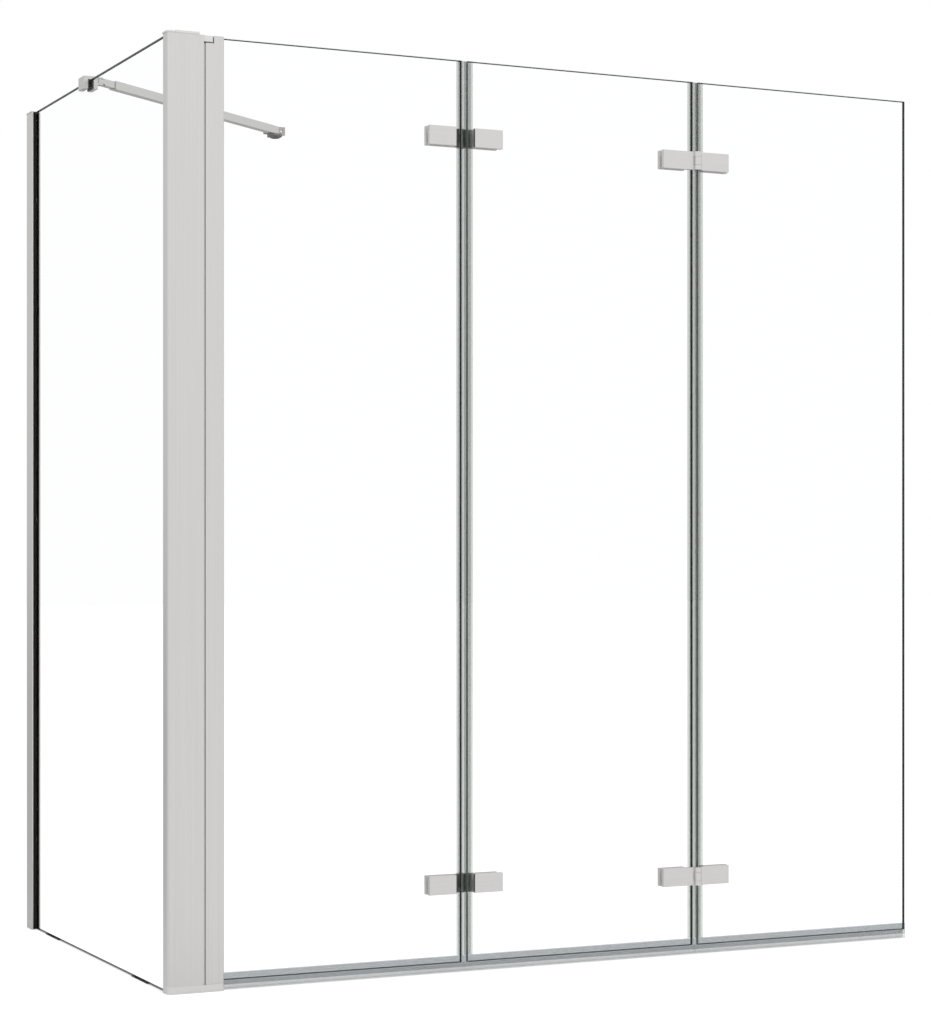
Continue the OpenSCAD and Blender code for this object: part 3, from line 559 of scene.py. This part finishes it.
nose_r, out, edge_r = PIVOT["nose_r"], PIVOT["out"], PIVOT["edge_r"]
lean = math.degrees(math.asin(POST_HALF / nose_r))
turn = math.degrees(math.asin(GROOVE / nose_r))
side_x = -nose_r * math.cos(math.radians(lean))
slot_x, slot_y = PIVOT["slot"]
notch_x, notch_z = PIVOT["notch"]
profile("pivot_profile",
        fillet([arc((0, 0), nose_r, 180 + turn, 180 - lean, 28)[:-1], (side_x, POST_HALF, 0.3),
                (out, POST_HALF, edge_r), (out, slot_y, 0.4), (slot_x, slot_y, 0.3),
                (slot_x, -slot_y, 0.3), (out, -slot_y, 0.4), (out, -POST_HALF, edge_r),
                (side_x, -POST_HALF, 0.8), (side_x, -GROOVE, 0.2)]),
        [circle((0, 0), PIVOT["bore_r"], ROUND_SIDES)],
        PIVOT["z"],
        [block((-PAST_NOSE, -PAST_NOSE, notch_z), (notch_x, PAST_NOSE, PAST_TOP))])

# ---------- seals ----------


def seal(node, loops, ends, place, material):
    stand_for(link(node + "_drawn", to_mesh(bar(loops, ends, place)), [material], 30), node)


def edge_seal(node, side):
    """A push-on seal; side -1 carries the fin with the soft bulb."""
    lo, hi = [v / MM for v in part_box(node)]
    reach = SEAL_REACH[side]
    joint = lo.x + reach if side < 0 else hi.x - reach
    far, near, back = (joint + side * d for d in (reach, SEAL_FLOOR, SEAL_BACK))
    fin, bore = [], []
    if side < 0:
        bulb = (joint + BULB["x"], 0)
        fin = [(back, -FIN_HALF, 0.4), arc(bulb, BULB["r"], -BULB["open"], BULB["open"], 20),
               (back, FIN_HALF, 0.4)]
        bore = [circle(bulb, BULB["bore_r"], 24)]
    outline = fillet([(far, SEAL_OUT, 0.45), (far, SEAL_IN, 0.3), (near, SEAL_IN, 0.3),
                      (near, -SEAL_IN, 0.3), (far, -SEAL_IN, 0.3), (far, -SEAL_OUT, 0.45),
                      (back, -SEAL_OUT, 0.5), *fin, (back, SEAL_OUT, 0.5)])
    seal(node, [outline, *bore], (lo.z, hi.z), upright, EDGE_SEAL)


edge_seal("edge_seal_1_right", -1)
edge_seal("edge_seal_2_left", 1)
edge_seal("edge_seal_2_right", -1)
edge_seal("edge_seal_3_left", 1)

# Y, Z and radius of the bottom seal's corners, and of the hollow bubble under the glass
BOTTOM_OUTLINE = fillet([
    (-4.2, 24.4, 0.5), (-SEAL_IN, 24.4, 0.4), (-SEAL_IN, 13.35, 0.2), (SEAL_IN, 13.35, 0.2),
    (SEAL_IN, 24.4, 0.4), (4.2, 24.4, 0.5), (4.2, 5.5, 0.8), (5.2, 0.0, 0.3), (3.6, 0.0, 0.3),
    (2.6, 5.5, 0.4), (-2.6, 5.5, 0.4), (-3.6, 0.0, 0.3), (-5.2, 0.0, 0.3), (-4.2, 5.5, 0.8)])
BUBBLE = fillet([(-3.0, 6.7, 0.8), (3.0, 6.7, 0.8), (3.0, 12.2, 0.8), (-3.0, 12.2, 0.8)])
for leaf in (1, 2, 3):
    lo, hi = [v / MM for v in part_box(f"bottom_seal_{leaf}")]
    seal(f"bottom_seal_{leaf}", [BOTTOM_OUTLINE, BUBBLE], (lo.x, hi.x), along_x, BOTTOM_SEAL)

# ---------- metal pieces with eased edges ----------

for node in ("corner_cap", "post_cap", "top_pivot_block", "post_foot", "channel_cap"):
    refined(node, 0.5, CAP_METAL)
refined("wall_channel", 0.4, ANODISED)
for node in nodes:
    if slot_of[node] == "hinge_metal":
        refined(node, 0.7, HINGE_METAL)
for node in ("brace_clamp", "brace_rod", "brace_tube", "brace_end"):
    refined(node, 0.5, BAR_METAL)
refined("wall_bracket", 0.5, BRACKET_METAL_PAINTED_SHADE)

# ---------- floor, light and camera ----------


def ray_kinds(tree):
    """Two outputs: 1 for rays that see the surface, also through glass, and for mirrored ones."""
    path = add(tree, "ShaderNodeLightPath")
    seen = calculate(tree, "MAXIMUM", path.outputs["Is Camera Ray"],
                     path.outputs["Is Transmission Ray"])
    return seen, path.outputs["Is Glossy Ray"]


world = bpy.data.worlds.new("studio")
scene.world = world
world.use_nodes = True
tree = world.node_tree
light = tree.nodes["Background"]
light.inputs["Color"].default_value = (1, 1, 1, 1)
seen, mirrored = ray_kinds(tree)
behind = fade(tree, coordinate(tree, "Generated", "Y"), *MIRRORED_WORLD)
strength = calculate(tree, "MAXIMUM", seen, calculate(tree, "MULTIPLY", mirrored, behind))
tree.links.new(calculate(tree, "MAXIMUM", strength, WORLD_LIGHT), light.inputs["Strength"])

floor_bm = bmesh.new()
bmesh.ops.create_grid(floor_bm, x_segments=1, y_segments=1, size=30)
floor_mat, tree, bsdf = node_tree("pale_floor")
bsdf.inputs["Base Color"].default_value = (0.72, 0.72, 0.72, 1)
bsdf.inputs["Roughness"].default_value = 0.9
bsdf.inputs["Specular IOR Level"].default_value = 0.0
seen, mirrored = ray_kinds(tree)
behind = fade(tree, coordinate(tree, "Object", "Y"), *MIRRORED_FLOOR)
glow = add(tree, "ShaderNodeEmission", Color=(1, 1, 1, 1))
strength = calculate(tree, "ADD", calculate(tree, "MULTIPLY", seen, FLOOR_GLOW),
                     calculate(tree, "MULTIPLY", mirrored, behind))
tree.links.new(strength, glow.inputs["Strength"])
both = add(tree, "ShaderNodeAddShader")
tree.links.new(bsdf.outputs["BSDF"], both.inputs[0])
tree.links.new(glow.outputs["Emission"], both.inputs[1])
tree.links.new(both.outputs["Shader"], tree.nodes["Material Output"].inputs["Surface"])
floor = link("floor", to_mesh(floor_bm), [floor_mat])
floor.location.z = -FLOOR_DROP


def lamp(name, place, target, size, power):
    """A square lamp of size metres at place that points at target."""
    data = bpy.data.lights.new(name, "AREA")
    data.shape, data.size, data.size_y, data.energy = "RECTANGLE", size, size, power
    obj = bpy.data.objects.new(name, data)
    obj.location = place
    obj.rotation_mode = "QUATERNION"
    aim = Vector(target) - Vector(place)
    obj.rotation_quaternion = aim.to_track_quat("-Z", "Y")
    scene.collection.objects.link(obj)


lamp("key", (0.9, -1.4, 4.4), (0.5, 0.1, 0.0), 2.4, 30)
lamp("fill", (-2.8, -0.4, 3.4), (0.3, 0.2, 0.3), 1.8, 6)

camera = bpy.data.objects.new("camera", bpy.data.cameras.new("camera"))
camera.location = (-1.2204, -3.5016, 0.6313)
camera.rotation_mode = "XYZ"
camera.rotation_euler = (math.radians(90), 0, math.radians(-25.10))
camera.data.lens = 88.58
camera.data.sensor_width = 36
camera.data.sensor_fit = "AUTO"
camera.data.shift_y = 0.0463
camera.data.clip_start = 0.05
camera.data.clip_end = 200
scene.collection.objects.link(camera)
scene.camera = camera

scene.view_settings.view_transform = "Standard"
scene.cycles.transparent_max_bounces = 32
